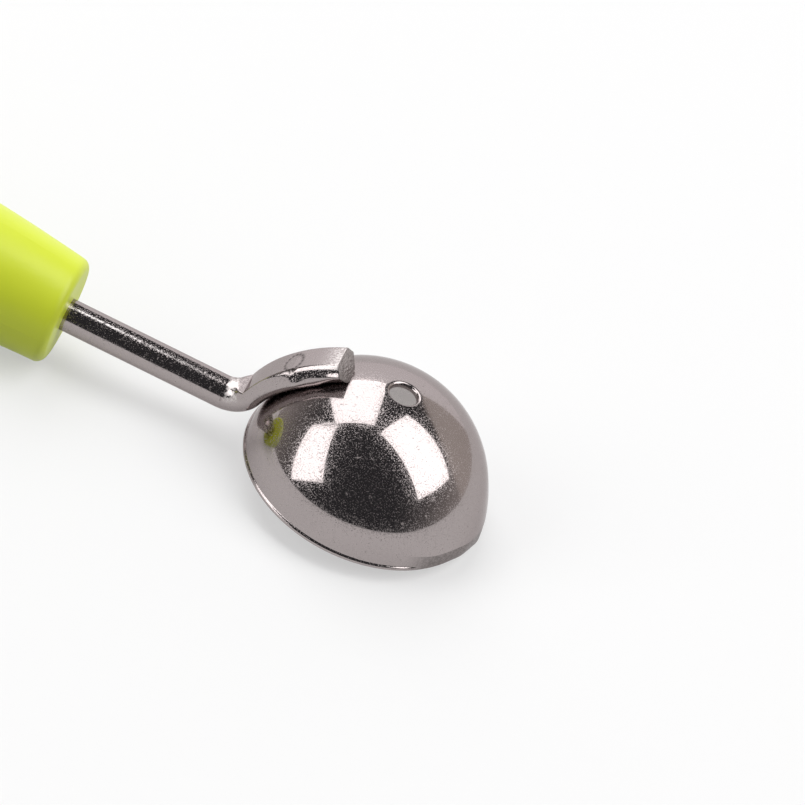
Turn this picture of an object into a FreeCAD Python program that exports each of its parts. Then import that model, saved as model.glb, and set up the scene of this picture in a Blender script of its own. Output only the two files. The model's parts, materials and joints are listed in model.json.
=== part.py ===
import FreeCAD, Part
import math
import os
from FreeCAD import Vector

# Melon baller: a pressed steel bowl, spot-welded to a bent steel rod whose far end is
# moulded into a plastic handle. Millimetres and degrees. While the pieces are made, the
# centre of the bowl's ball is the origin, +X points from the handle to the beak and +Z
# to the bowl's rounded back. At the end the tool is laid down, bowl down, on a table.

# Bowl
bowl_radius = 15.0
sheet_thickness = 0.7
rim_height = 1.1            # rim plane, above the ball's centre
rim_rounding = 0.4          # outer edge of the rim
beak_spread = 14.8          # angle from the point to where the beak leaves the ball
beak_dip = 1.7              # angle of the point below the ball's centre
beak_root = 13.5            # along X, where the rim starts to run down to the point
beak_blunting = 0.2         # how far above the cone's point the rim cuts it off
drain_diameter = 3.4
drain_mouth_diameter = 4.1

# Rod, from the tongue on the bowl's back to the tang inside the handle
rod_diameter = 4.0
rod_height = 3.2            # straight length of the rod, above the ball's centre
bend_radius = 3.6           # at the rod's middle
tongue_thickness = 2.65
tongue_flat = 4.0           # width of the flat on the pressed end
tongue_bulge = 0.45         # how far each side swells past the flat
tongue_crown = 0.05         # what is left of the rod's roundness on the flat
landing_rise = 0.4          # extra height where the rod meets the bowl, not yet fully pressed
landing_flatness = 0.7      # pressing there, of 1 for the flat tongue
pressed_share = 0.6         # share of the tongue along which the pressing comes to an end
tongue_end = 63.8           # angle of the cut end, up from the level of the ball's centre
tongue_shear = 12.0         # lean of the cut end
bend_steps = 6              # sections that the bend and the tongue are drawn through
tongue_steps = 6
loft_degree = 3
tang_length = 52.0          # hidden in the handle
wing_length = 9.0           # pinched stretch that stops the rod turning and pulling out
wing_from_end = 8.0

# Spot welds between the tongue and the bowl
weld_angles = (42.0, 55.0)
weld_diameter = 2.4
weld_thickness = 0.8

# Handle: oval sections, as distance behind the front face, half width, and how far they
# reach below and above the line of the rod. The belly is what the tool lies on.
handle_face = -39.4
handle_length = 98.0
front_half_width, front_below, front_above = 6.65, 6.55, 6.55
neck_at, neck_half_width, neck_below, neck_above = 12.0, 7.85, 7.0, 8.1
belly_at, belly_half_width, belly_below, belly_above = 38.0, 11.0, 9.2, 8.5
waist_at, waist_half_width, waist_below, waist_above = 70.0, 9.4, 7.2, 7.2
butt_half_width, butt_below, butt_above = 7.4, 5.2, 5.2
front_rounding = 1.2
butt_rounding = 3.4
hang_hole_diameter = 5.0
hang_hole_from_butt = 11.0
hang_hole_easing = 0.7      # depth of the cone at each mouth

rod_radius = rod_diameter / 2
tongue_middle = bowl_radius + tongue_thickness / 2
near = 0.001


def around_bowl(radius, angle):
    """Point in the tool's middle plane, at an angle up from the bowl's handle side."""
    turn = math.radians(angle)
    return Vector(-radius * math.cos(turn), 0, radius * math.sin(turn))


def beaked_ball(radius):
    """Ball with a cone drawn out to the beak's point, tangent to it all round."""
    spread = math.radians(beak_spread)
    back = Vector(-radius, 0, 0)
    top = Vector(0, 0, radius)
    shoulder = Vector(radius * math.cos(spread), 0, radius * math.sin(spread))
    point = Vector(radius / math.cos(spread), 0, 0)
    outline = Part.Wire([
        Part.Arc(back, top, shoulder).toShape(),
        Part.LineSegment(shoulder, point).toShape(),
        Part.LineSegment(point, back).toShape(),
    ])
    ball = Part.Face(outline).revolve(Vector(), Vector(1, 0, 0), 360)
    ball.rotate(Vector(), Vector(0, 1, 0), beak_dip)
    return ball


def below_rim():
    """Everything under the rim plane and under the ramp that leads out to the beak."""
    reach = 2 * bowl_radius
    point = Vector(bowl_radius / math.cos(math.radians(beak_spread)), 0, 0)
    point = FreeCAD.Rotation(Vector(0, 1, 0), beak_dip).multVec(point)
    root = Vector(beak_root, 0, rim_height)
    cut_off = point + Vector(0, 0, beak_blunting)
    ramp_end = root + (cut_off - root) * (reach / bowl_radius)
    outline = Part.makePolygon([
        Vector(-reach, 0, rim_height),
        root,
        ramp_end,
        Vector(ramp_end.x, 0, -reach),
        Vector(-reach, 0, -reach),
        Vector(-reach, 0, rim_height),
    ])
    block = Part.Face(outline).extrude(Vector(0, 2 * reach, 0))
    block.translate(Vector(0, -reach, 0))
    return block


def drain_hole():
    """Punched hole through the bowl's back, with its outer edge eased by a cone."""
    drain_radius = drain_diameter / 2
    mouth_radius = drain_mouth_diameter / 2
    mouth_height = math.sqrt(bowl_radius ** 2 - mouth_radius ** 2)
    easing = mouth_radius - drain_radius
    bore = Part.makeCylinder(drain_radius, 2 * bowl_radius)
    cone_base = Vector(0, 0, mouth_height - easing)
    cone = Part.makeCone(drain_radius, drain_radius + 2 * easing, 2 * easing, cone_base)
    return bore.fuse(cone)


def outer_rim_edges(shell):
    """The two halves of the rim's outer circle, which end where the beak begins."""
    rim_radius = math.sqrt(bowl_radius ** 2 - rim_height ** 2)
    edges = []
    for edge in shell.Edges:
        start = edge.valueAt(edge.FirstParameter)
        level = abs(edge.BoundBox.ZMin - rim_height) < near and edge.BoundBox.ZLength < near
        if level and abs(math.hypot(start.x, start.y) - rim_radius) < near:
            edges.append(edge)
    return [edge for edge in edges if edge.Length > bowl_radius]


def make_scoop_bowl(welds):
    shell = beaked_ball(bowl_radius).cut(beaked_ball(bowl_radius - sheet_thickness))
    shell = shell.cut(below_rim()).Solids[0]
    shell = shell.makeFillet(rim_rounding, outer_rim_edges(shell))
    return shell.cut(drain_hole()).cut(welds)


def rod_section(middle, outward, flatness):
    """Closed outline across the rod: round at flatness 0, pressed like the tongue at 1."""
    diagonal = rod_radius / math.sqrt(2)

    def pressed(round_size, flat_size):
        return round_size + (flat_size - round_size) * flatness

    side = Vector(0, pressed(diagonal, tongue_flat / 2), 0)
    rise = outward * pressed(diagonal, tongue_thickness / 2 - tongue_crown)
    crown = outward * pressed(rod_radius - diagonal, tongue_crown)
    bulge = Vector(0, pressed(rod_radius - diagonal, tongue_bulge), 0)
    corners = [middle + side + rise, middle - side + rise, middle - side - rise, middle + side - rise]
    swells = [middle + rise + crown, middle - side - bulge, middle - rise - crown, middle + side + bulge]
    arcs = []
    for index, swell in enumerate(swells):
        arcs.append(Part.Arc(corners[index], swell, corners[(index + 1) % 4]).toShape())
    return Part.Wire(arcs)


def straight_rod(start, end):
    return Part.makeCylinder(rod_radius, end - start, Vector(start, 0, rod_height), Vector(1, 0, 0))


def pinched_wings(start):
    """Stretch of the tang that is squeezed wide and flat, round again at both ends."""
    sections = []
    for share, flatness in ((0, 0), (0.3, 1), (0.7, 1), (1, 0)):
        middle = Vector(start + wing_length * share, 0, rod_height)
        sections.append(rod_section(middle, Vector(0, 0, 1), flatness))
    return Part.makeLoft(sections, True, True)


def eased(share):
    """Smooth step from 0 to 1."""
    return share * share * (3 - 2 * share)


def bend_and_tongue(landing, bend_centre):
    """The rod's S-bend up the heel of the bowl, pressed flat on the way to its cut end."""
    sections = []
    for step in range(bend_steps):
        share = step / bend_steps
        turn = math.radians((90 - landing) * share)
        outward = Vector(-math.sin(turn), 0, math.cos(turn))
        flatness = landing_flatness * eased(share)
        sections.append(rod_section(bend_centre - outward * bend_radius, outward, flatness))
    for step in range(tongue_steps + 1):
        share = step / tongue_steps
        angle = landing + (tongue_end - landing) * share
        lean = tongue_shear if step == tongue_steps else 0
        pressing = eased(min(1, share / pressed_share))
        middle = around_bowl(tongue_middle + landing_rise * (1 - pressing), angle)
        flatness = landing_flatness + (1 - landing_flatness) * pressing
        sections.append(rod_section(middle, around_bowl(1, angle - lean), flatness))
    return Part.makeLoft(sections, True, False, False, loft_degree)


def make_shank(welds):
    bend_height = rod_height + bend_radius
    bend_reach = tongue_middle + landing_rise + bend_radius
    landing = math.degrees(math.asin(bend_height / bend_reach))
    bend_centre = around_bowl(bend_reach, landing)
    tang_end = handle_face - tang_length
    wing_start = tang_end + wing_from_end
    rod = bend_and_tongue(landing, bend_centre).multiFuse([
        straight_rod(tang_end, wing_start),
        pinched_wings(wing_start),
        straight_rod(wing_start + wing_length, bend_centre.x),
    ])
    seat = Part.makeSphere(bowl_radius)
    return rod.removeSplitter().cut(seat).cut(welds)


def make_spot_welds():
    """Lens-shaped nuggets, half in the tongue and half in the bowl's sheet."""
    half_width = weld_diameter / 2
    half_thickness = weld_thickness / 2
    cap_radius = (half_width ** 2 + half_thickness ** 2) / (2 * half_thickness)
    nuggets = []
    for angle in weld_angles:
        outer_centre = around_bowl(bowl_radius + cap_radius - half_thickness, angle)
        inner_centre = around_bowl(bowl_radius - cap_radius + half_thickness, angle)
        outer_cap = Part.makeSphere(cap_radius, outer_centre)
        nuggets.append(outer_cap.common(Part.makeSphere(cap_radius, inner_centre)))
    return Part.makeCompound(nuggets)


def handle_section(distance, half_width, below, above):
    """Oval across the handle, in four quarters."""
    middle = Vector(handle_face - distance, 0, rod_height + (above - below) / 2)
    side = middle + Vector(0, half_width, 0)
    top = middle + Vector(0, 0, (above + below) / 2)
    oval = Part.Ellipse(side, top, middle)
    quarter = math.pi / 2
    return Part.Wire([oval.toShape(turn * quarter, (turn + 1) * quarter) for turn in range(4)])


def end_edges(solid, at):
    """Edges that lie in the plane across the tool at one place along it."""
    return [edge for edge in solid.Edges
            if abs(edge.BoundBox.XMin - at) < near and abs(edge.BoundBox.XMax - at) < near]


def hang_hole(grip):
    """Hole for a hook, straight down through the handle's tail, with its mouths eased by cones."""
    radius = hang_hole_diameter / 2
    reach = belly_below + belly_above
    along = handle_face - handle_length + hang_hole_from_butt
    bottom = Vector(along, 0, rod_height - reach)
    top = Vector(along, 0, rod_height + reach)
    inside = grip.common(Part.LineSegment(bottom, top).toShape()).BoundBox
    cutters = [Part.makeCylinder(radius, 2 * reach, bottom)]
    for mouth, out in ((inside.ZMin, -1), (inside.ZMax, 1)):
        base = Vector(along, 0, mouth - out * hang_hole_easing)
        wide = radius + 2 * hang_hole_easing
        cutters.append(Part.makeCone(radius, wide, 2 * hang_hole_easing, base, Vector(0, 0, out)))
    return Part.makeCompound(cutters)


def make_handle(shank):
    grip = Part.makeLoft([
        handle_section(0, front_half_width, front_below, front_above),
        handle_section(neck_at, neck_half_width, neck_below, neck_above),
        handle_section(belly_at, belly_half_width, belly_below, belly_above),
        handle_section(waist_at, waist_half_width, waist_below, waist_above),
        handle_section(handle_length, butt_half_width, butt_below, butt_above),
    ], True, False, False, loft_degree)
    grip = grip.makeFillet(front_rounding, end_edges(grip, handle_face))
    grip = grip.makeFillet(butt_rounding, end_edges(grip, handle_face - handle_length))
    return grip.cut(hang_hole(grip)).cut(shank)


def laid_down(pieces):
    """Turn and place of the tool lying on its beak and its handle, bottom centre at 0, 0, 0."""
    fine = 0.02
    beak = max(pieces["scoop_bowl"].tessellate(fine)[0], key=lambda point: point.x)
    handle_points = pieces["handle"].tessellate(fine)[0]
    lie = max(math.atan2(beak.z - point.z, beak.x - point.x) for point in handle_points)
    turned = FreeCAD.Placement(Vector(), FreeCAD.Rotation(Vector(0, 1, 0), math.degrees(lie)))
    whole = Part.makeCompound(list(pieces.values()))
    whole.Placement = turned
    box = whole.optimalBoundingBox(False, False)
    bottom_centre = Vector(box.Center.x, box.Center.y, box.ZMin)
    print("lie", math.degrees(lie), "bottom centre", bottom_centre)
    return FreeCAD.Placement(bottom_centre.negative(), turned.Rotation)


spot_welds = make_spot_welds()
shank = make_shank(spot_welds)
pieces = {
    "scoop_bowl": make_scoop_bowl(spot_welds),
    "shank": shank,
    "spot_welds": spot_welds,
    "handle": make_handle(shank),
}
resting = laid_down(pieces)
os.makedirs("parts", exist_ok=True)
for name, shape in pieces.items():
    shape.Placement = resting.multiply(shape.Placement)
    shape.exportStep("parts/" + name + ".step")
    print(name, len(shape.Solids), shape.isValid(), round(shape.Volume, 2), shape.BoundBox)
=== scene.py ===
# %% [markdown]
# A melon baller cuts balls out of fruit. This one is a half ball of polished steel sheet with a
# small beak, a steel rod that is bent up over the ball, pressed flat there and welded on, and a
# lime green handle that is moulded round the rod's other end.
# The imported model already has the true sizes and places. It is loaded first, and the dressed tool
# must not grow out of its box.

# %% Load the imported model
import json
import math

import bmesh
import bpy
from mathutils import Matrix, Vector


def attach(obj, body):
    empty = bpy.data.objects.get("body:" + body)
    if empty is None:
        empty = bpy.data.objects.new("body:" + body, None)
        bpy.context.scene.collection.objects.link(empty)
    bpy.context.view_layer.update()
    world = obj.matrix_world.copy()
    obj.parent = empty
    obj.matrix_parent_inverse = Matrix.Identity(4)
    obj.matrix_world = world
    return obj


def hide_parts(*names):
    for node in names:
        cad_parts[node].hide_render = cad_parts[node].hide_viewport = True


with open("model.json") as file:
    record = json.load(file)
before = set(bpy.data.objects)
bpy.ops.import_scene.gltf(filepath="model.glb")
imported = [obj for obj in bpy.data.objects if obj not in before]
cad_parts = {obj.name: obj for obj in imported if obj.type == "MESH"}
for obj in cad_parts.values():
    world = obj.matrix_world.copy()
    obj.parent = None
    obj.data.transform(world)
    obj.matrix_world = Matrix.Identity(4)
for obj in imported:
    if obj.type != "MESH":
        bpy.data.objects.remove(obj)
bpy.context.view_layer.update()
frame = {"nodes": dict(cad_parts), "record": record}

mm = 0.001
print("pieces in the model:", sorted(frame["nodes"]))

# %% [markdown]
# The tool lies on a table, so its rod slopes a little. It is far easier to model it straight, with
# the ball's centre as the origin, the beak along +X and the ball's round back up, and in
# millimetres. One matrix then lays each finished mesh down. The model's hanging hole tells where
# that matrix has to take it, because the hole's place is known both ways.

# %% The matrix that lays the tool down
rod_height = 3.2
handle_face = -39.4
handle_length = 98.0
hang_hole_from_butt = 11.0

hang_hole = frame["record"]["mounts"][0]
hole_axis = Vector(hang_hole["axis"])
slope = Matrix.Rotation(math.atan2(hole_axis.x, hole_axis.z), 4, "Y")
hole_in_tool = Vector((handle_face - handle_length + hang_hole_from_butt, 0, rod_height)) * mm
tool_to_table = Matrix.Translation(Vector(hang_hole["pos_m"]) - slope @ hole_in_tool) @ slope
model_to_table = tool_to_table @ Matrix.Scale(mm, 4)
ball_centre = tool_to_table.translation
print("ball's centre in mm:", [round(c / mm, 2) for c in ball_centre])

# %% [markdown]
# The camera comes before the pieces, so that every test render can be held against the photograph.
# It looks down on the tool at about 39 degrees, is rolled by 26 degrees, and stands 400 mm from the
# ball with a long lens. It could be aimed by a constraint, but that leaves the roll open. A turn
# followed by a move along the turned axes settles everything in one matrix.

# %% Camera
camera_elevation = 38.70
camera_roll = 26.30
camera_offset = Vector((4.928, 9.387, 400.0))
sensor_width = 36.0
focal_length = 152.74

camera_lens = bpy.data.cameras.new("photo_camera")
camera_lens.sensor_width = sensor_width
camera_lens.lens = focal_length
camera = bpy.data.objects.new("photo_camera", camera_lens)
bpy.context.scene.collection.objects.link(camera)
look_down = Matrix.Rotation(math.radians(90 - camera_elevation), 4, "X")
roll = Matrix.Rotation(math.radians(camera_roll), 4, "Z")
camera.matrix_world = tool_to_table @ look_down @ roll @ Matrix.Translation(camera_offset * mm)
bpy.context.scene.camera = camera
print("camera at", [round(c, 3) for c in camera.matrix_world.translation])

# %% [markdown]
# Each piece below is drawn in a bmesh, and the same few steps turn it into an object: lay the mesh
# down on the table, mark the edges that are really sharp, shade everything else smooth, give it its
# finishes, hang it on its body and hide the CAD node it stands for.

# %% From a bmesh to a finished piece
sharp_angle = math.radians(38)


def finish_piece(bm, name, node, materials):
    bmesh.ops.transform(bm, matrix=model_to_table, verts=bm.verts[:])
    for face in bm.faces:
        face.smooth = True
    for edge in bm.edges:
        edge.smooth = edge.calc_face_angle(0) < sharp_angle
    mesh = bpy.data.meshes.new(name)
    bm.to_mesh(mesh)
    bm.free()
    for material in materials:
        mesh.materials.append(material)
    piece = bpy.data.objects.new(name, mesh)
    bpy.context.scene.collection.objects.link(piece)
    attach(piece, "root")
    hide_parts(node)
    triangles = sum(len(polygon.vertices) - 2 for polygon in mesh.polygons)
    print(name, "has", triangles, "triangles")


print("edges are sharp from", round(math.degrees(sharp_angle)), "degrees")

# %% [markdown]
# Buffed steel is never a perfect mirror. Buffing leaves fine pits, a few small flecks and hairlines,
# and each reflection breaks up into specks at its edge. A picture of scratches could do this, but
# it needs an unwrapped mesh and blurs close up, while noise in the piece's own coordinates stays
# sharp. The bowl and the rod share the marks, so they are a node group, with inputs for what
# differs from piece to piece. It puts out a height for a Bump node, a haze and the pits.

# %% The group and its sockets
def put_node(tree, kind, place, values=None, **settings):
    node = tree.nodes.new(kind)
    node.location = place
    for setting, choice in settings.items():
        setattr(node, setting, choice)
    for socket, value in (values or {}).items():
        node.inputs[socket].default_value = value
    return node


buffed_marks = bpy.data.node_groups.new("buffed_marks", "ShaderNodeTree")
for socket in ("Vector", "Hairline Scale"):
    buffed_marks.interface.new_socket(socket, in_out="INPUT", socket_type="NodeSocketVector")
for socket in ("Pit Scale", "Pit Cover", "Hairline Depth"):
    buffed_marks.interface.new_socket(socket, in_out="INPUT", socket_type="NodeSocketFloat")
for socket in ("Height", "Haze", "Pits"):
    buffed_marks.interface.new_socket(socket, in_out="OUTPUT", socket_type="NodeSocketFloat")
marks_in = put_node(buffed_marks, "NodeGroupInput", (-900, 0)).outputs
marks_out = put_node(buffed_marks, "NodeGroupOutput", (700, 0)).inputs
link_mark = buffed_marks.links.new
print("sockets of the marks:", [item.name for item in buffed_marks.interface.items_tree])

# %% [markdown]
# Most of the surface stays flat. Fine noise is cut off, so that only its lowest spots are left as
# pits. A coarser, twisted noise, cut off near its top, adds the few flecks that are large enough to
# be seen one by one. The larger of the two says how rough the metal is at a point.

# %% Pits and flecks
pit_floor = 0.30
fleck_scale = 2400.0
fleck_twist = 1.5
fleck_start = 0.74
fleck_full = 0.82

grain = put_node(buffed_marks, "ShaderNodeTexNoise", (-500, 200), {"Detail": 2.0, "Roughness": 0.6})
link_mark(marks_in["Vector"], grain.inputs["Vector"])
link_mark(marks_in["Pit Scale"], grain.inputs["Scale"])
flat_metal = put_node(buffed_marks, "ShaderNodeMapRange", (-250, 200), {"From Min": pit_floor})
link_mark(marks_in["Pit Cover"], flat_metal.inputs["From Max"])
link_mark(grain.outputs["Fac"], flat_metal.inputs["Value"])
pits = put_node(buffed_marks, "ShaderNodeMath", (50, 300), {0: 1.0}, operation="SUBTRACT")
link_mark(flat_metal.outputs["Result"], pits.inputs[1])

dents = put_node(
    buffed_marks, "ShaderNodeTexNoise", (-500, 500),
    {"Scale": fleck_scale, "Detail": 0.0, "Distortion": fleck_twist})
link_mark(marks_in["Vector"], dents.inputs["Vector"])
flecks = put_node(
    buffed_marks, "ShaderNodeMapRange", (-250, 500),
    {"From Min": fleck_start, "From Max": fleck_full})
link_mark(dents.outputs["Fac"], flecks.inputs["Value"])
rough_spots = put_node(buffed_marks, "ShaderNodeMath", (300, 400), operation="MAXIMUM")
link_mark(pits.outputs["Value"], rough_spots.inputs[0])
link_mark(flecks.outputs["Result"], rough_spots.inputs[1])
link_mark(rough_spots.outputs["Value"], marks_out["Pits"])
print("pits and flecks:", len(buffed_marks.nodes), "nodes in the group")

# %% [markdown]
# Hairlines are noise that is stretched along one direction and cut off near its top. They are dug
# out of the height next to the pits. They also make the haze, together with slow clouds that the
# buffing wheel leaves where it was pressed less.

# %% Hairlines and haze
hairline_start = 0.62
hairline_full = 0.75
hairline_haze = 0.4
cloud_scale = 260.0

stretch = put_node(buffed_marks, "ShaderNodeVectorMath", (-700, -150), operation="MULTIPLY")
link_mark(marks_in["Vector"], stretch.inputs[0])
link_mark(marks_in["Hairline Scale"], stretch.inputs[1])
hairs = put_node(buffed_marks, "ShaderNodeTexNoise", (-500, -150), {"Scale": 1.0, "Detail": 3.0})
link_mark(stretch.outputs["Vector"], hairs.inputs["Vector"])
hairlines = put_node(
    buffed_marks, "ShaderNodeMapRange", (-250, -150),
    {"From Min": hairline_start, "From Max": hairline_full})
link_mark(hairs.outputs["Fac"], hairlines.inputs["Value"])
dug = put_node(buffed_marks, "ShaderNodeMath", (50, -100), operation="MULTIPLY")
link_mark(hairlines.outputs["Result"], dug.inputs[0])
link_mark(marks_in["Hairline Depth"], dug.inputs[1])
height = put_node(buffed_marks, "ShaderNodeMath", (300, 100), operation="SUBTRACT")
link_mark(flat_metal.outputs["Result"], height.inputs[0])
link_mark(dug.outputs["Value"], height.inputs[1])
link_mark(height.outputs["Value"], marks_out["Height"])

clouds = put_node(
    buffed_marks, "ShaderNodeTexNoise", (-500, -500), {"Scale": cloud_scale, "Detail": 4.0})
link_mark(marks_in["Vector"], clouds.inputs["Vector"])
haze = put_node(
    buffed_marks, "ShaderNodeMath", (300, -300), {1: hairline_haze}, operation="MULTIPLY_ADD")
link_mark(hairlines.outputs["Result"], haze.inputs[0])
link_mark(clouds.outputs["Fac"], haze.inputs[2])
link_mark(haze.outputs["Value"], marks_out["Haze"])
print("hairlines and haze:", len(buffed_marks.nodes), "nodes in the group")

# %% [markdown]
# Every steel finish here is a Principled BSDF with full metal and a slightly warm grey. The haze
# tints it and sets how smooth it is, the pits add roughness, and a Bump node takes the height. A
# rougher metal all over would blur the lamps. With a smooth metal and rough pits, a lamp's edge
# stays crisp and breaks up into grains, as it does on the real tool.

# %% A steel finish
grazing_tint = (0.72, 0.69, 0.69)


def opaque(colour):
    return (*colour, 1.0)


def new_finish(name):
    material = bpy.data.materials.new(name)
    material.use_nodes = True
    return material, material.node_tree, material.node_tree.nodes["Principled BSDF"]


def steel_finish(
        name, colour, dull_colour, pit_scale, pit_cover, pit_depth, pit_roughness,
        hairline_scale, hairline_depth, smoothest, dullest):
    material, tree, shader = new_finish(name)
    link = tree.links.new
    shader.inputs["Metallic"].default_value = 1.0
    shader.inputs["Specular Tint"].default_value = opaque(grazing_tint)
    coordinates = put_node(tree, "ShaderNodeTexCoord", (-1200, 0))
    marks = put_node(
        tree, "ShaderNodeGroup", (-900, 0),
        {"Pit Scale": pit_scale, "Pit Cover": pit_cover,
         "Hairline Scale": hairline_scale, "Hairline Depth": hairline_depth},
        node_tree=buffed_marks)
    link(coordinates.outputs["Object"], marks.inputs["Vector"])

    tone = put_node(
        tree, "ShaderNodeMix", (-500, 250), {"A": opaque(colour), "B": opaque(dull_colour)},
        data_type="RGBA")
    link(marks.outputs["Haze"], tone.inputs["Factor"])
    link(tone.outputs["Result"], shader.inputs["Base Color"])

    polish = put_node(
        tree, "ShaderNodeMapRange", (-500, 0), {"To Min": smoothest, "To Max": dullest})
    link(marks.outputs["Haze"], polish.inputs["Value"])
    pitted = put_node(
        tree, "ShaderNodeMath", (-250, 0), {1: pit_roughness}, operation="MULTIPLY_ADD")
    link(marks.outputs["Pits"], pitted.inputs[0])
    link(polish.outputs["Result"], pitted.inputs[2])
    link(pitted.outputs["Value"], shader.inputs["Roughness"])

    bump = put_node(
        tree, "ShaderNodeBump", (-500, -250), {"Strength": 1.0, "Distance": pit_depth})
    link(marks.outputs["Height"], bump.inputs["Height"])
    link(bump.outputs["Normal"], shader.inputs["Normal"])
    print("steel finish", name, "with", len(tree.nodes), "nodes")
    return material


# %% [markdown]
# The tool has four kinds of steel surface. A ball is buffed all round, so the outside of the bowl
# is a mirror with short hairlines. A drawn rod has long lines along it. The inside of the bowl,
# where a wheel hardly reaches, is satin. The rod's cut end and the welds are coarse, with deep grain.

# %% The four steel finishes
buffed_grey = (0.375, 0.333, 0.329)
hazy_grey = (0.362, 0.321, 0.317)

mirror_sheet = steel_finish(
    "mirror_sheet", buffed_grey, hazy_grey,
    pit_scale=7000.0, pit_cover=0.47, pit_depth=3e-6, pit_roughness=0.50,
    hairline_scale=(260.0, 2600.0, 700.0), hairline_depth=1.2, smoothest=0.02, dullest=0.08)
satin_sheet = steel_finish(
    "satin_sheet", (0.70, 0.66, 0.65), (0.60, 0.56, 0.55),
    pit_scale=3600.0, pit_cover=0.46, pit_depth=8e-6, pit_roughness=0.10,
    hairline_scale=(900.0, 900.0, 900.0), hairline_depth=0.30, smoothest=0.20, dullest=0.34)
drawn_rod = steel_finish(
    "drawn_rod", buffed_grey, hazy_grey,
    pit_scale=7000.0, pit_cover=0.45, pit_depth=4e-6, pit_roughness=0.50,
    hairline_scale=(120.0, 3200.0, 3200.0), hairline_depth=0.10, smoothest=0.03, dullest=0.10)
sheared_steel = steel_finish(
    "sheared_steel", (0.46, 0.42, 0.415), (0.20, 0.18, 0.175),
    pit_scale=2600.0, pit_cover=0.62, pit_depth=1.2e-4, pit_roughness=0.10,
    hairline_scale=(900.0, 2600.0, 900.0), hairline_depth=0.35, smoothest=0.25, dullest=0.50)

# %% [markdown]
# Tools have left marks that dull the polish: grinding at the beak, the welding electrode's ring and
# scuffs where the press held it. The ground edge is also given a dark colour, which is painted shade
# for the table's shadow that it mirrors, and a pale stripe along the rod is a painted highlight of a
# soft box's streak of light. Separate materials would end in a hard edge. So each vertex gets a share
# from 0 to 1 when its piece is shaped, and the finish reads that share as an attribute. Fine noise
# makes the patches uneven.

# %% Dull patches and painted light
patch_grain = 3400.0
patch_start = 0.40
patch_full = 0.58


def wear_and_painted_light_patch(material, attribute, colour, roughness, least):
    tree = material.node_tree
    link = tree.links.new
    shader = tree.nodes["Principled BSDF"]
    grain = put_node(tree, "ShaderNodeTexNoise", (-900, 600), {"Scale": patch_grain})
    link(tree.nodes["Texture Coordinate"].outputs["Object"], grain.inputs["Vector"])
    uneven = put_node(
        tree, "ShaderNodeMapRange", (-700, 600),
        {"From Min": patch_start, "From Max": patch_full, "To Min": least})
    link(grain.outputs["Fac"], uneven.inputs["Value"])
    patch = put_node(tree, "ShaderNodeAttribute", (-700, 850), attribute_name=attribute)
    share = put_node(tree, "ShaderNodeMath", (-500, 700), operation="MULTIPLY")
    link(patch.outputs["Fac"], share.inputs[0])
    link(uneven.outputs["Result"], share.inputs[1])
    worn_values = (("Base Color", "RGBA", opaque(colour)), ("Roughness", "FLOAT", roughness))
    for socket, kind, value in worn_values:
        polished = shader.inputs[socket].links[0].from_socket
        worn = put_node(tree, "ShaderNodeMix", (-250, 450), {"B": value}, data_type=kind)
        link(share.outputs["Value"], worn.inputs["Factor"])
        link(polished, worn.inputs["A"])
        link(worn.outputs["Result"], shader.inputs[socket])
    print(material.name, "reads the patch", attribute)


# The ground edge is rougher, and its dark colour is painted shade: the table's shadow that the edge
# mirrors at the rim.
wear_and_painted_light_patch(mirror_sheet, "ground_edge_and_shade", (0.20, 0.18, 0.176), roughness=0.30, least=0.60)
wear_and_painted_light_patch(drawn_rod, "electrode_mark", (0.03, 0.025, 0.025), roughness=0.25, least=0.85)
# The stripe along the rod is rougher and paler: a painted highlight of the soft box's streak of
# light.
wear_and_painted_light_patch(drawn_rod, "painted_streak", (0.85, 0.81, 0.80), roughness=0.42, least=0.35)
wear_and_painted_light_patch(drawn_rod, "die_scuff", (0.60, 0.56, 0.55), roughness=0.40, least=0.20)

# %% [markdown]
# The bowl is pressed from 0.7 mm sheet. A modifier could give a thin shell its thickness, but then
# the rim and the hole would only have square edges. Instead the sheet's closed outline is drawn
# once, as it would look on a cut through the bowl: the outside, the rolled mouth of the drain hole,
# its wall, the inside and the rim with its two rounded corners. Each arc is one vertex that is spun
# about the arc's centre. The helpers for that come first.

# %% Arcs and lines from a vertex
ball = (0, 0, 0)
sideways = (0, 1, 0)
upright = (0, 0, 1)


def verts_of(parts):
    return [part for part in parts if isinstance(part, bmesh.types.BMVert)]


def spun(bm, parts, centre, axis, angle, steps, merge=False):
    swept = bmesh.ops.spin(
        bm, geom=parts, cent=centre, axis=axis, dvec=(0, 0, 0), angle=angle, steps=steps,
        use_merge=merge, use_normal_flip=False, use_duplicate=False)
    return swept["geom_last"]


def arc_from(bm, start, centre, degrees, steps):
    return verts_of(spun(bm, [start], centre, sideways, math.radians(degrees), steps))[0]


def line_from(bm, start, target):
    drawn = bmesh.ops.extrude_vert_indiv(bm, verts=[start])
    bmesh.ops.translate(bm, verts=drawn["verts"], vec=target - start.co)
    return drawn["verts"][0]


def rounding_centre(height, distance):
    return Vector((math.sqrt(distance ** 2 - height ** 2), 0, height))


def elevation(point):
    return math.degrees(math.atan2(point.z, point.x))


print("outlines are drawn in the plane across", sideways)

# %% [markdown]
# The corners' centres follow from the sheet's sizes, so the arcs meet without a kink. The rows of
# vertices are close together near the rim, which is shaped further below, and wider above it.

# %% The sheet's outline
bowl_radius = 15.0
sheet_thickness = 0.7
rim_height = 1.1
rim_outer_rounding = 0.16
rim_inner_rounding = 0.08
drain_radius = 1.7
drain_lip = 0.38
fine_elevation = 12.8

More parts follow.
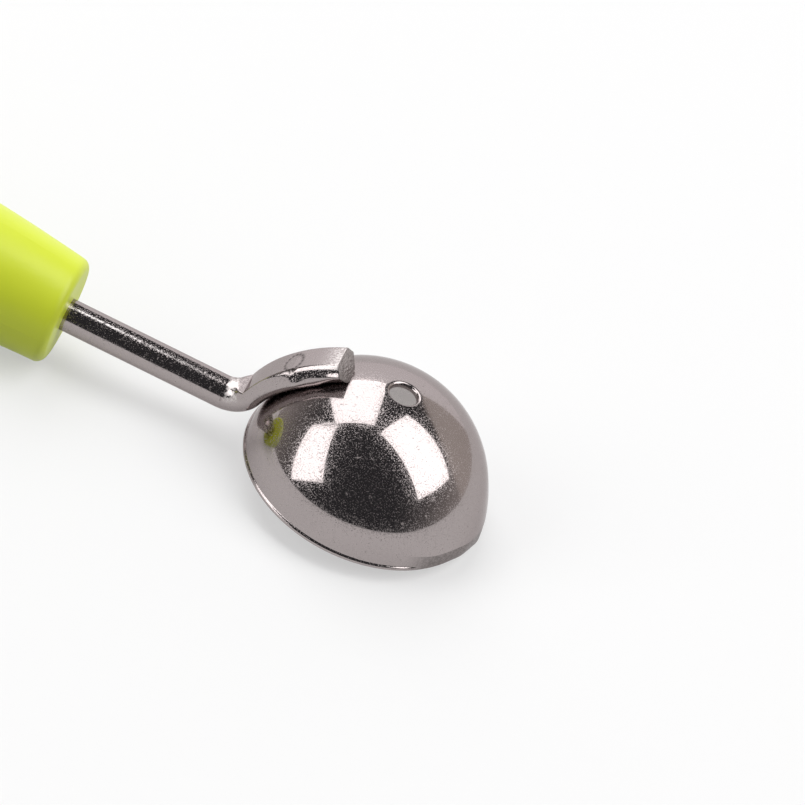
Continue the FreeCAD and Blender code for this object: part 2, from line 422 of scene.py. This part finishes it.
inner_radius = bowl_radius - sheet_thickness
outer_corner = rounding_centre(rim_height + rim_outer_rounding, bowl_radius - rim_outer_rounding)
inner_corner = rounding_centre(rim_height + rim_inner_rounding, inner_radius + rim_inner_rounding)
lip_reach = drain_radius + drain_lip
lip_centre = Vector((lip_reach, 0, math.sqrt((bowl_radius - drain_lip) ** 2 - lip_reach ** 2)))
hole_foot = Vector((drain_radius, 0, math.sqrt(inner_radius ** 2 - drain_radius ** 2)))

bowl = bmesh.new()
seam = bowl.verts.new(outer_corner.normalized() * bowl_radius)
corner = arc_from(bowl, seam, ball, elevation(outer_corner) - fine_elevation, steps=42)
corner = arc_from(bowl, corner, ball, fine_elevation - elevation(lip_centre), steps=66)
corner = arc_from(bowl, corner, lip_centre, elevation(lip_centre) - 180, steps=8)
corner = line_from(bowl, corner, hole_foot)
corner = arc_from(bowl, corner, ball, elevation(hole_foot) - elevation(inner_corner), steps=60)
corner = arc_from(bowl, corner, inner_corner, elevation(inner_corner) - 90, steps=5)
corner = line_from(bowl, corner, Vector((outer_corner.x, 0, rim_height)))
corner = arc_from(bowl, corner, outer_corner, -90 - elevation(outer_corner), steps=7)
print("outline:", len(bowl.verts), "points, gap", round((corner.co - seam.co).length, 6), "mm")

# %% [markdown]
# Spinning the outline once about the ball's axis closes the sheet, with the last step merged into
# the first. Normals are recalculated after that, so that they all point out of the steel. The faces
# on the inside take the second material, the satin one.

# %% Spin the sheet
bowl_steps = 288
merge_distance = 1e-4
inside_margin = 0.01

bmesh.ops.remove_doubles(bowl, verts=bowl.verts[:], dist=merge_distance)
spun(bowl, bowl.verts[:] + bowl.edges[:], ball, upright, 2 * math.pi, bowl_steps, merge=True)
bmesh.ops.remove_doubles(bowl, verts=bowl.verts[:], dist=merge_distance)
bmesh.ops.recalc_face_normals(bowl, faces=bowl.faces[:])
for face in bowl.faces:
    face.material_index = int(face.calc_center_median().length < inner_radius + inside_margin)
open_edges = sum(len(edge.link_faces) != 2 for edge in bowl.edges)
print("bowl:", len(bowl.faces), "faces,", open_edges, "open edges")

# %% [markdown]
# The press leaves a narrow lip round the back of the rim: the wall stands a little inside it and
# turns out to it in a small hollow, which catches the lamps as a bright line. Towards the beak the
# wall swells out, and the lip has been ground away to a duller, slanting edge that goes into the
# fruit. A cut could make that edge, but both forms fade out along the rim, so they are sideways
# moves of the rim's fine rows of vertices, and the sheet keeps its thickness above them.

# %% Rim lip and ground edge
lip_width = 0.22
lip_inset = 0.03
lip_top = 0.36
hollow_top = 0.60
wall_blend = 5.0
grind_depth = 0.42
grind_swell = 0.34
grind_height = 2.1
grind_from = math.radians(56)
grind_full = math.radians(40)
sheet_middle = bowl_radius - sheet_thickness / 2


def eased(share):
    share = min(1.0, max(0.0, share))
    return share * share * (3 - 2 * share)


def ground_share(point):
    around = abs(math.atan2(point.y, point.x))
    return eased((grind_from - around) / (grind_from - grind_full))


def shape_rim(point):
    above_rim = point.z - rim_height
    near_rim = 1 - eased(above_rim / wall_blend)
    inset = lip_width * near_rim
    cut = -grind_swell * near_rim
    if point.length > sheet_middle:
        on_lip = 1 - eased((above_rim - lip_top) / (hollow_top - lip_top))
        inset -= (lip_width - lip_inset) * on_lip
        cut += grind_depth * max(0.0, 1 - above_rim / grind_height)
    ground = ground_share(point)
    shift = inset * (1 - ground) + cut * ground
    reach = math.hypot(point.x, point.y)
    scale = (reach - shift) / reach
    return Vector((point.x * scale, point.y * scale, point.z))


# This share also darkens the ground edge in the finish, as painted shade for the table's shadow that
# it mirrors.
ground_edge_and_shade = bowl.verts.layers.float.new("ground_edge_and_shade")
for vertex in bowl.verts:
    if vertex.co.length > sheet_middle and vertex.co.z < rim_height + grind_height:
        vertex[ground_edge_and_shade] = ground_share(vertex.co)
    vertex.co = shape_rim(vertex.co)
print("rim lip", lip_width, "mm wide, ground edge", grind_height, "mm high")

# %% [markdown]
# The beak is drawn out of the finished ball. Seen from the centre, everything within about 15
# degrees of the beak's tip leaves the ball along a cone that touches it, so the surface stays
# smooth there. The rim slopes down to the tip. A beak that is modelled by itself would need a
# seam, so both are moves of the existing vertices.

# %% Draw out the beak
beak_spread = math.radians(15.0)
beak_dip = math.radians(1.7)
beak_root = 13.5
beak_bluntness = math.radians(1.3)
rim_ramp = 0.68
ramp_softness = 0.25
beak_axis = Vector((math.cos(beak_dip), 0, -math.sin(beak_dip)))


def stretch_at(angle_from_tip):
    return 1 / math.cos(max(0.0, beak_spread - math.hypot(angle_from_tip, beak_bluntness)))


def rim_drop(around):
    run = bowl_radius * stretch_at(abs(around)) * math.cos(around) - beak_root
    return rim_ramp * (run + math.hypot(run, ramp_softness)) / 2


def draw_out_beak(point):
    distance = point.length
    around = math.atan2(point.y, point.x)
    height = math.asin(point.z / distance)
    share = (math.pi / 2 - height) / (math.pi / 2)
    height -= rim_drop(around) / bowl_radius * share ** 2
    flat = math.cos(height)
    direction = Vector((flat * math.cos(around), flat * math.sin(around), math.sin(height)))
    return direction * distance * stretch_at(direction.angle(beak_axis))


for vertex in bowl.verts:
    vertex.co = draw_out_beak(vertex.co)
tip = max(bowl.verts, key=lambda vertex: vertex.co.x).co
print("beak's tip in mm:", [round(c, 3) for c in tip])
finish_piece(bowl, "bowl_sheet", "scoop_bowl", [mirror_sheet, satin_sheet])

# %% [markdown]
# The shank is one rod. A ring of vertices is extruded along its straight length, then spun about
# the bend's centre, then spun the other way about the ball's centre. A curve with a round bevel
# could do that too, but here each ring is exactly where the press needs it. The result is a plain
# round tube that follows the rod's line. Pressing it flat comes afterwards.

# %% The rod's line
rod_radius = 2.0
bend_radius = 3.6
tongue_thickness = 2.8
landing_rise = 0.4
tongue_end = math.radians(63.8)
tang_length = 52.0

tang_start = handle_face - tang_length
tongue_middle = bowl_radius + tongue_thickness / 2
bend_height = rod_height + bend_radius
bend_reach = tongue_middle + landing_rise + bend_radius
landing = math.asin(bend_height / bend_reach)
bend_centre = Vector((-math.cos(landing), 0, math.sin(landing))) * bend_reach
full_turn = math.pi / 2 - landing
print("bend starts at x", round(bend_centre.x, 2), "mm, turns", round(math.degrees(full_turn), 1))

# %% The rod as a round tube
ring_points = 128
straight_steps = 72
bend_steps = 40
tongue_steps = 120


def edges_of(parts):
    return [part for part in parts if isinstance(part, bmesh.types.BMEdge)]


rod = bmesh.new()
facing_forward = Matrix.Rotation(math.pi / 2, 4, "Y")
tang_place = Matrix.Translation((tang_start, 0, rod_height)) @ facing_forward
bmesh.ops.create_circle(
    rod, cap_ends=False, segments=ring_points, radius=rod_radius, matrix=tang_place)
tang_loop = rod.edges[:]
loop = tang_loop
step = Vector(((bend_centre.x - tang_start) / straight_steps, 0, 0))
for _ in range(straight_steps):
    grown = bmesh.ops.extrude_edge_only(rod, edges=loop)["geom"]
    bmesh.ops.translate(rod, verts=verts_of(grown), vec=step)
    loop = edges_of(grown)
loop = edges_of(spun(rod, loop, bend_centre, sideways, -full_turn, bend_steps))
end_loop = edges_of(spun(rod, loop, ball, sideways, tongue_end - landing, tongue_steps))
print("rod:", len(rod.verts), "points")

# %% [markdown]
# A press squeezes the rod's end between two dies, which gives it a section of its own: a flat top
# with a crisp edge, a steep shoulder, a side that bulges slowly, and a round underside. An oval is
# too soft for this, because each of these faces mirrors something else. So the half section is
# drawn as a chain of arcs that run on into each other, and the last arc is made to close it.

# %% The tongue's section
top_flat = 1.75
upper_radii = (0.15, 1.45, 6.8, 0.95)
section_turns = [math.radians(turn) for turn in (90, 55, 33, 25, -20, -90)]

upper_arcs = list(zip(upper_radii, section_turns, section_turns[1:]))
upper_drop = sum(radius * (math.sin(start) - math.sin(end)) for radius, start, end in upper_arcs)
under_radius = (tongue_thickness - upper_drop) / (1 + math.sin(section_turns[-2]))
section_arcs = [*upper_arcs, (under_radius, section_turns[-2], section_turns[-1])]
bottom_flat = top_flat
section_length = top_flat
for radius, start, end in section_arcs:
    bottom_flat += radius * (math.cos(end) - math.cos(start))
    section_length += radius * (start - end)
section_length += bottom_flat


def tongue_section(share):
    walk = share * section_length
    side = min(walk, top_flat)
    rise = tongue_thickness / 2
    walk -= side
    for radius, start, end in section_arcs:
        turn = max(end, start - walk / radius)
        side += radius * (math.cos(turn) - math.cos(start))
        rise -= radius * (math.sin(start) - math.sin(turn))
        walk -= radius * (start - turn)
    return side - walk, rise


print("half section:", round(section_length, 2), "mm round, flat below", round(bottom_flat, 2), "mm")

# %% [markdown]
# The upper die also comes down into the bend, where it leaves a valley that is rounder than the
# bend itself. Each vertex can tell from its place whether it is on the straight length, in the bend
# or on the tongue, and how far along. A die then is a height that nothing may rise above, with a
# soft edge so that the metal flows up to it.

# %% The dies
valley_radius = 4.85
on_line = 1e-6


def place_on_rod(point):
    from_bend = point - bend_centre
    turn = math.atan2(from_bend.x, -from_bend.z)
    if from_bend.x <= on_line and point.z < bend_centre.z:
        return "straight", point.x
    if turn <= full_turn + on_line:
        return "bend", turn
    return "tongue", math.atan2(point.z, -point.x)


def held_under(height, die, edge):
    blend = min(1.0, max(0.0, 0.5 + 0.5 * (die - height) / edge))
    return die + (height - die) * blend - edge * blend * (1 - blend)


def valley_height(turn):
    lift = valley_radius - (bend_radius - rod_radius)
    across = math.sqrt(valley_radius ** 2 - (lift * math.sin(turn)) ** 2)
    return bend_radius - (across - lift * math.cos(turn))


print("valley ends", round(valley_height(full_turn), 2), "mm over the rod's line")

# %% [markdown]
# Pressing is one rule for all vertices: take the vertex's place on the round section, move it
# towards its place on the tongue's section by a share that grows along the rod, and hold it under
# the die. A lattice or sculpting would do it by eye. A rule keeps the sizes of the solid.

# %% Press the rod
pressed_share = 0.6
landing_flatness = 0.6
die_edge = 0.12
bend_edge = 0.5
tongue_top = bowl_radius + tongue_thickness


def out_of_ball(place):
    return Vector((-math.cos(place), 0, math.sin(place)))


def pressed(side, rise, flatness, top_die, edge):
    flat_side, flat_rise = tongue_section(0.5 - math.atan2(rise, abs(side)) / math.pi)
    side += (math.copysign(flat_side, side) - side) * flatness
    rise += (flat_rise - rise) * flatness
    return side, held_under(rise, top_die, edge)


def press_point(point):
    stretch_name, place = place_on_rod(point)
    if stretch_name == "straight":
        return point
    if stretch_name == "bend":
        share = place / full_turn
        outward = Vector((-math.sin(place), 0, math.cos(place)))
        middle = bend_centre - outward * bend_radius
        new_middle = middle
        flatness = landing_flatness * eased(share)
        edge = bend_edge + (die_edge - bend_edge) * share
        top_die = valley_height(place) + edge * (1 - share)
    else:
        pressing = eased((place - landing) / (tongue_end - landing) / pressed_share)
        outward = out_of_ball(place)
        middle = outward * (tongue_middle + landing_rise)
        new_middle = outward * (tongue_middle + landing_rise * (1 - pressing))
        flatness = landing_flatness + (1 - landing_flatness) * pressing
        edge = die_edge
        top_die = tongue_top - new_middle.length
    side, rise = pressed(point.y, (point - middle).dot(outward), flatness, top_die, edge)
    moved = new_middle + outward * rise
    return Vector((moved.x, side, moved.z))


for vertex in rod.verts:
    vertex.co = press_point(vertex.co)
end_points = {vertex for edge in end_loop for vertex in edge.verts}
tongue_width = 2 * max(abs(vertex.co.y) for vertex in end_points)
print("tongue is", round(tongue_width, 2), "mm wide")

# %% [markdown]
# The spot welder's electrode stood on the tongue and left a shallow, dark ring there, a little off
# the middle. It is a ring of soft beads, because the electrode's worn edge doesn't touch all round.
# The dent is real geometry, and the dark is an attribute that the rod's finish reads.

# %% Electrode ring
mark_angle = math.radians(43.1)
mark_side = -0.4
mark_along = 1.1
mark_across = 1.6
mark_line = 0.15
mark_beads = 15
bead_level = 0.65
bead_swing = 0.35
top_above_middle = 0.9


def from_mark(place):
    return (place - mark_angle) * tongue_top


def on_tongue_top(point):
    return math.hypot(point.x, point.z) >= tongue_middle + top_above_middle


def ring_mark(point):
    stretch_name, place = place_on_rod(point)
    if stretch_name != "tongue" or not on_tongue_top(point):
        return 0.0
    ring = math.hypot(from_mark(place) / mark_along, (point.y - mark_side) / mark_across)
    return math.exp(-((ring - 1) / mark_line) ** 2)


def electrode_mark(point):
    along = from_mark(place_on_rod(point)[1]) / mark_along
    around = math.atan2((point.y - mark_side) / mark_across, along)
    return ring_mark(point) * (bead_level + bead_swing * math.cos(mark_beads * around))


print("electrode ring", 2 * mark_along, "by", 2 * mark_across, "mm")

# %% [markdown]
# Four more things happened to the tongue. The electrode squeezed its near side out a little, the
# lower edges of its end were rounded up, the shears cut the end at a slant, and the underside was
# seated on the ball, so nothing of it goes into the bowl. Cutting with a plane would leave a ragged
# row of faces at the slant. Sliding the last rows of vertices along the rod keeps them tidy.

# %% Shear and seat
mark_depth = 0.05
squeeze_out = 0.16
squeeze_side = -1.9
squeeze_rise = -0.3
squeeze_spread = 0.7
keel_lift = 0.8
keel_fade = 3.8
keel_half_width = 1.0
keel_spread = 1.7
keel_top = 0.8
keel_depth = 2.0
shear_slant = math.tan(math.radians(16))
shear_fade = 2.5


def worked(point):
    stretch_name, place = place_on_rod(point)
    if stretch_name != "tongue":
        return point
    outward = out_of_ball(place)
    forward = Vector((math.sin(place), 0, math.cos(place)))
    rise = math.hypot(point.x, point.z) - tongue_middle
    to_end = (tongue_end - place) * tongue_middle
    point = point - outward * mark_depth * ring_mark(point)
    if point.y < squeeze_side:
        along = from_mark(place) / mark_along
        swell = math.exp(-along ** 2 - ((rise - squeeze_rise) / squeeze_spread) ** 2)
        point = point + Vector((0, -squeeze_out * swell, 0))
    outer = eased((abs(point.y) - keel_half_width) / keel_spread)
    outer *= eased((keel_top - rise) / keel_depth)
    lift = keel_lift * outer * (1 - eased(to_end / keel_fade))
    point = point + outward * lift
    point = point - forward * shear_slant * (rise + lift) * (1 - eased(to_end / shear_fade))
    if point.length < bowl_radius:
        point = point.normalized() * bowl_radius
    return point


print("end is cut at a slant of", round(math.degrees(math.atan(shear_slant))), "degrees")

# %% [markdown]
# A rougher stripe runs along the straight rod where a soft box's streak of light falls on it,
# brightest near the handle, and its pale colour is a painted highlight of that streak. The press
# scuffed the valley in the bend and the top of the tongue's end. None of them has a depth that could
# be felt, so they are shares for the dull patches and no shape.

# %% Painted streak and scuffs
line_angle = math.radians(69.5)
line_width = math.radians(5.0)
scuff_from = 0.10
scuff_to = 0.72
scuff_blend = 0.12
scuff_depth = 0.8
end_scuff = 3.4


def painted_streak(point):
    run = (bend_centre.x - point.x) / (bend_centre.x - handle_face)
    if run < 0 or place_on_rod(point)[0] != "straight":
        return 0.0
    angle = math.atan2(point.z - rod_height, -point.y)
    return math.sqrt(min(1.0, run)) * math.exp(-((angle - line_angle) / line_width) ** 2)


def die_scuff(point):
    stretch_name, place = place_on_rod(point)
    if stretch_name == "straight":
        return 0.0
    if stretch_name == "tongue":
        to_end = (tongue_end - place) * tongue_middle
        return on_tongue_top(point) * (1 - eased(to_end / end_scuff))
    share = place / full_turn
    from_edge = min(share - scuff_from, scuff_to - share)
    reach = math.hypot(point.x - bend_centre.x, point.z - bend_centre.z)
    return eased(from_edge / scuff_blend) * eased((bend_radius - reach) / scuff_depth)


marks_on_rod = {"electrode_mark": electrode_mark, "painted_streak": painted_streak, "die_scuff": die_scuff}
for name, share_at in marks_on_rod.items():
    layer = rod.verts.layers.float.new(name)
    for vertex in rod.verts:
        vertex[layer] = share_at(vertex.co)
    print(name, "reaches", round(max(vertex[layer] for vertex in rod.verts), 2))

# %% [markdown]
# With its marks noted, the rod gets its last shape and is closed. The cut end takes the coarse
# steel as its second material, and a tiny bevel breaks its edge, as a real sheared edge is never
# knife sharp.

# %% Close the rod
end_bevel = 0.04

for vertex in rod.verts:
    vertex.co = worked(vertex.co)
bmesh.ops.edgeloop_fill(rod, edges=tang_loop, mat_nr=0)
bmesh.ops.edgeloop_fill(rod, edges=end_loop, mat_nr=1)
bmesh.ops.bevel(
    rod, geom=end_loop, offset=end_bevel, offset_type="OFFSET", segments=2, profile=0.5,
    affect="EDGES", material=-1, clamp_overlap=True)
bmesh.ops.recalc_face_normals(rod, faces=rod.faces[:])
print("rod's open edges:", sum(len(edge.link_faces) != 2 for edge in rod.edges))
finish_piece(rod, "shank_rod", "shank", [drawn_rod, sheared_steel])

# %% [markdown]
# The handle is injection moulded in lime green plastic. Its CAD solid has the true shape, so it
# stays, and only its finish is new: a half gloss with a faint unevenness, as moulded plastic has.
# Slow clouds vary the colour and the gloss, and a fine grain from the mould goes into a Bump node.

# %% Lime plastic
lime = (0.640, 0.728, 0.040)
deep_lime = (0.595, 0.690, 0.033)
sink_scale = 90.0
mould_grain = 2600.0
mould_depth = 1.2e-5
glossiest = 0.30
least_gloss = 0.48
plastic_ior = 1.49

lime_plastic, tree, shader = new_finish("lime_plastic")
link = tree.links.new
shader.inputs["IOR"].default_value = plastic_ior
coordinates = put_node(tree, "ShaderNodeTexCoord", (-1200, 0))
sinks = put_node(tree, "ShaderNodeTexNoise", (-900, 250), {"Scale": sink_scale, "Detail": 3.0})
link(coordinates.outputs["Object"], sinks.inputs["Vector"])
tone = put_node(
    tree, "ShaderNodeMix", (-500, 250), {"A": opaque(lime), "B": opaque(deep_lime)},
    data_type="RGBA")
link(sinks.outputs["Fac"], tone.inputs["Factor"])
link(tone.outputs["Result"], shader.inputs["Base Color"])
gloss = put_node(
    tree, "ShaderNodeMapRange", (-500, 0), {"To Min": glossiest, "To Max": least_gloss})
link(sinks.outputs["Fac"], gloss.inputs["Value"])
link(gloss.outputs["Result"], shader.inputs["Roughness"])

mould = put_node(tree, "ShaderNodeTexNoise", (-900, -150), {"Scale": mould_grain, "Detail": 2.0})
link(coordinates.outputs["Object"], mould.inputs["Vector"])
bump = put_node(tree, "ShaderNodeBump", (-500, -250), {"Distance": mould_depth})
link(mould.outputs["Fac"], bump.inputs["Height"])
link(bump.outputs["Normal"], shader.inputs["Normal"])
print("plastic finish", lime_plastic.name, "with", len(tree.nodes), "nodes")

# %% [markdown]
# The handle and the welds are CAD nodes that stay as they are. A finish is given to them by putting
# it in their mesh's material slots, and nothing else about them is touched.

# %% Finishes for the CAD nodes
for name, material in (("handle", lime_plastic), ("spot_welds", sheared_steel)):
    node_mesh = frame["nodes"][name].data
    node_mesh.materials.clear()
    node_mesh.materials.append(material)
    print(name, "is", material.name)

# %% [markdown]
# A mirror shows its surroundings, so the lamps are part of the look. Three large soft boxes stand
# round the tool: one behind, one on the left and one on the right. Their places, and how each panel
# is turned and tilted, come from where the ball reflects their corners in the photograph. Spot lamps
# would only give dots. A lamp's power follows from how bright its panel should look.

# %% Soft boxes
panel_distance = 2.2


def aim_from(azimuth, height):
    level = math.cos(math.radians(height))
    return Vector((
        level * math.sin(math.radians(azimuth)),
        level * math.cos(math.radians(azimuth)),
        math.sin(math.radians(height))))


def soft_box(name, brightness, azimuth, height, turn, swing, tilt, half_width, half_height):
    lamp = bpy.data.lights.new(name, "AREA")
    lamp.shape = "RECTANGLE"
    lamp.size = 2 * half_width * panel_distance
    lamp.size_y = 2 * half_height * panel_distance
    lamp.energy = brightness * math.pi * lamp.size * lamp.size_y
    box = bpy.data.objects.new(name, lamp)
    direction = aim_from(azimuth, height)
    box.matrix_world = (
        Matrix.Translation(ball_centre + direction * panel_distance)
        @ direction.to_track_quat("Z", "Y").to_matrix().to_4x4()
        @ Matrix.Rotation(math.radians(turn), 4, "Z")
        @ Matrix.Rotation(math.radians(swing), 4, "Y")
        @ Matrix.Rotation(math.radians(tilt), 4, "X"))
    bpy.context.scene.collection.objects.link(box)
    print(name, round(lamp.size, 2), "by", round(lamp.size_y, 2), "m,", round(lamp.energy), "W")


soft_box(
    "soft_box_back", brightness=3.1, azimuth=-47.7, height=53.4,
    turn=-38.0, swing=-11.2, tilt=4.3, half_width=0.317, half_height=0.466)
soft_box(
    "soft_box_left", brightness=3.1, azimuth=-112.6, height=33.5,
    turn=61.8, swing=20.6, tilt=33.2, half_width=0.259, half_height=0.493)
soft_box(
    "soft_box_right", brightness=3.3, azimuth=75.6, height=54.2,
    turn=-29.8, swing=-21.1, tilt=8.3, half_width=0.371, half_height=0.586)

# %% [markdown]
# The table is a plain sheet under the tool, which steel that faces down reflects as the pale ring
# round the bowl. More light would make it white, but the tool would burn out too. So it is a middle
# grey that keeps the soft shadow, and a glow that only the camera and mirrors see lifts it to white.

# %% Table
table_half = 6.0
table_segments = 4
table_grey = (0.42, 0.42, 0.42)
table_roughness = 0.9
table_glow = 0.45
white = (1.0, 1.0, 1.0)

table = bmesh.new()
bmesh.ops.create_grid(
    table, x_segments=table_segments, y_segments=table_segments, size=table_half)
table_mesh = bpy.data.meshes.new("table_top")
table.to_mesh(table_mesh)
table.free()
table_top = bpy.data.objects.new("table_top", table_mesh)
bpy.context.scene.collection.objects.link(table_top)

white_table, tree, shader = new_finish("white_table")
link = tree.links.new
shader.inputs["Base Color"].default_value = opaque(table_grey)
shader.inputs["Roughness"].default_value = table_roughness
shader.inputs["Specular IOR Level"].default_value = 0.0
shader.inputs["Emission Color"].default_value = opaque(white)
path = put_node(tree, "ShaderNodeLightPath", (-900, -300))
seen = put_node(tree, "ShaderNodeMath", (-650, -300), operation="MAXIMUM")
link(path.outputs["Is Camera Ray"], seen.inputs[0])
link(path.outputs["Is Glossy Ray"], seen.inputs[1])
seen_at_all = put_node(tree, "ShaderNodeMath", (-450, -300), operation="MAXIMUM")
link(seen.outputs["Value"], seen_at_all.inputs[0])
link(path.outputs["Is Transmission Ray"], seen_at_all.inputs[1])
glow = put_node(tree, "ShaderNodeMath", (-250, -300), {1: table_glow}, operation="MULTIPLY")
link(seen_at_all.outputs["Value"], glow.inputs[0])
link(glow.outputs["Value"], shader.inputs["Emission Strength"])
table_mesh.materials.append(white_table)
bpy.context.scene.view_settings.view_transform = "Standard"
print("table", 2 * table_half, "m wide")

# %% [markdown]
# The room is a world shader that looks at the direction of each ray. It is dark above and towards
# the camera, and greyer towards the horizon on the other sides. Real walls would take the lamps'
# light and throw it back. Directions don't, so the greys between the lamps can be set one by one.

# %% Walls of the room
wall_dark = (0.050, 0.051, 0.055)
wall_grey = (0.42, 0.39, 0.375)
dark_above = 0.75
dark_in_front = -0.75
grey_behind = 0.4

room = bpy.data.worlds.new("dark_room")
room.use_nodes = True
room_tree = room.node_tree
link_room = room_tree.links.new
ray = put_node(room_tree, "ShaderNodeTexCoord", (-1400, 0)).outputs["Generated"]
parts = put_node(room_tree, "ShaderNodeSeparateXYZ", (-1200, -100))
link_room(ray, parts.inputs["Vector"])
low = put_node(
    room_tree, "ShaderNodeMapRange", (-950, 0), {"From Min": dark_above, "From Max": 0.0},
    interpolation_type="SMOOTHSTEP")
link_room(parts.outputs["Z"], low.inputs["Value"])
away = put_node(
    room_tree, "ShaderNodeMapRange", (-950, -300),
    {"From Min": dark_in_front, "From Max": grey_behind}, interpolation_type="SMOOTHSTEP")
link_room(parts.outputs["Y"], away.inputs["Value"])
grey = put_node(room_tree, "ShaderNodeMath", (-700, -150), operation="MULTIPLY")
link_room(low.outputs["Result"], grey.inputs[0])
link_room(away.outputs["Result"], grey.inputs[1])
walls = put_node(
    room_tree, "ShaderNodeMix", (-450, -100), {"A": opaque(wall_dark), "B": opaque(wall_grey)},
    data_type="RGBA")
link_room(grey.outputs["Value"], walls.inputs["Factor"])
print("room:", room.name, "with", len(room_tree.nodes), "nodes")

# %% [markdown]
# Two round screens hang in the room. The pale one behind the tool is the bright band on the steel's
# far side, and the warm one to the right of it tones that band down at its end. A screen is all
# directions within some angle of its middle, with a narrow soft rim, mixed over what is behind it.

# %% Screens
def hang_screen(behind, row, middle, colour, radius, soft_rim):
    towards = put_node(
        room_tree, "ShaderNodeVectorMath", (-950, row), {1: middle}, operation="DOT_PRODUCT")
    link_room(ray, towards.inputs[0])
    screen = put_node(
        room_tree, "ShaderNodeMapRange", (-700, row),
        {"From Min": math.cos(math.radians(radius)),
         "From Max": math.cos(math.radians(radius - soft_rim))},
        interpolation_type="SMOOTHSTEP")
    link_room(towards.outputs["Value"], screen.inputs["Value"])
    seen = put_node(room_tree, "ShaderNodeMix", (-200, row), {"B": opaque(colour)}, data_type="RGBA")
    link_room(behind, seen.inputs["A"])
    link_room(screen.outputs["Result"], seen.inputs["Factor"])
    print("screen of", 2 * radius, "degrees towards", [round(c, 2) for c in middle])
    return seen.outputs["Result"]


warm = hang_screen(
    walls.outputs["Result"], 300, aim_from(azimuth=36.0, height=7.0),
    colour=(0.67, 0.62, 0.58), radius=36.0, soft_rim=6.0)
pale = hang_screen(
    warm, 600, aim_from(azimuth=-18.0, height=-10.0),
    colour=(1.2, 1.18, 1.19), radius=46.8, soft_rim=0.8)
link_room(pale, room_tree.nodes["Background"].inputs["Color"])
bpy.context.scene.world = room

# %% [markdown]
# Last the view layer is updated.

# %% The end
bpy.context.view_layer.update()
